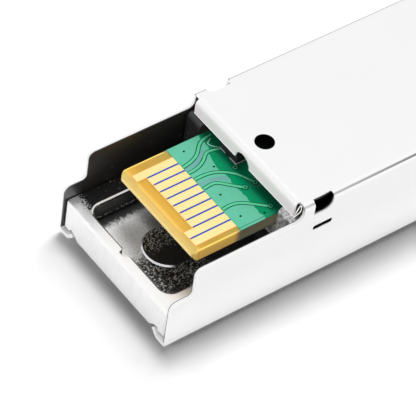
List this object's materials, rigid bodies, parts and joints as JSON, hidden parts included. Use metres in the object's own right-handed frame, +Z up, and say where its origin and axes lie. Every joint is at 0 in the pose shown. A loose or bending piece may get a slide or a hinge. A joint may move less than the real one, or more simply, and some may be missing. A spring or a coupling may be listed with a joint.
{
  "type": "bidi sfp transceiver",
  "caption": "Small pluggable optical transceiver with a gold edge connector, folded metal cover, spring collar, single fibre port and a bail latch.",
  "frame": {"origin": "under the middle of the whole module, at the level of its lowest shielding fingers, with the label side down", "axes": "+Y from the edge connector to the fibre port, +Z up towards the latch face, +X across the module"},
  "size_m": [0.0144, 0.0564, 0.0099],
  "materials": {
    "cover_steel": "satin",
    "zinc_casting": "satin",
    "spring_steel": "polished",
    "pin_steel": "polished",
    "board_laminate": "matt",
    "solder_mask": "gloss",
    "contact_gold": "polished",
    "chip_moulding": "matt",
    "capacitor_ceramic": "matt",
    "resistor_ceramic": "gloss",
    "ferrite": "matt",
    "thermal_filler": "matt",
    "optics_steel": "turned",
    "zirconia": "polished",
    "can_plating": "polished",
    "flex_film": "gloss",
    "clamp_moulding": "matt"
  },
  "bodies": {
    "housing": {"base_housing": "zinc_casting", "sheet_cover": "cover_steel", "shielding_collar": "spring_steel", "lever_pin": "pin_steel", "latch_spring": "spring_steel", "circuit_board": "board_laminate", "solder_mask_upper": "solder_mask", "solder_mask_lower": "solder_mask", "contact_pads_upper": "contact_gold", "contact_pads_lower": "contact_gold", "driver_chip": "chip_moulding", "memory_chip": "chip_moulding", "controller_chip": "chip_moulding", "capacitors": "capacitor_ceramic", "resistors": "resistor_ceramic", "ferrite_beads": "ferrite", "thermal_pad": "thermal_filler", "optical_body": "optics_steel", "receptacle_barrel": "optics_steel", "ceramic_sleeve": "zirconia", "fibre_stub": "zirconia", "laser_can": "can_plating", "detector_can": "can_plating", "laser_flex": "flex_film", "detector_flex": "flex_film", "optics_clamp": "clamp_moulding"},
    "bail": {"bail_handle": "zinc_casting", "bail_shaft": "pin_steel"},
    "latch": {"latch_lever": "zinc_casting"}
  },
  "joints": [
    {"name": "bail_hinge", "type": "hinge", "parent": "housing", "child": "bail", "pos_m": [0, 0.02465, 0.0081], "axis": [1, 0, 0], "range_deg": [0, 90]},
    {"name": "latch_rock", "type": "hinge", "parent": "housing", "child": "latch", "pos_m": [0, 0.02195, 0.0081], "axis": [1, 0, 0], "range_deg": [0, 6.4], "deforming": ["latch_spring"]}
  ],
  "couplings": [
    {"joint": "latch_rock", "follows": "bail_hinge", "ratio": 0.070878}
  ]
}
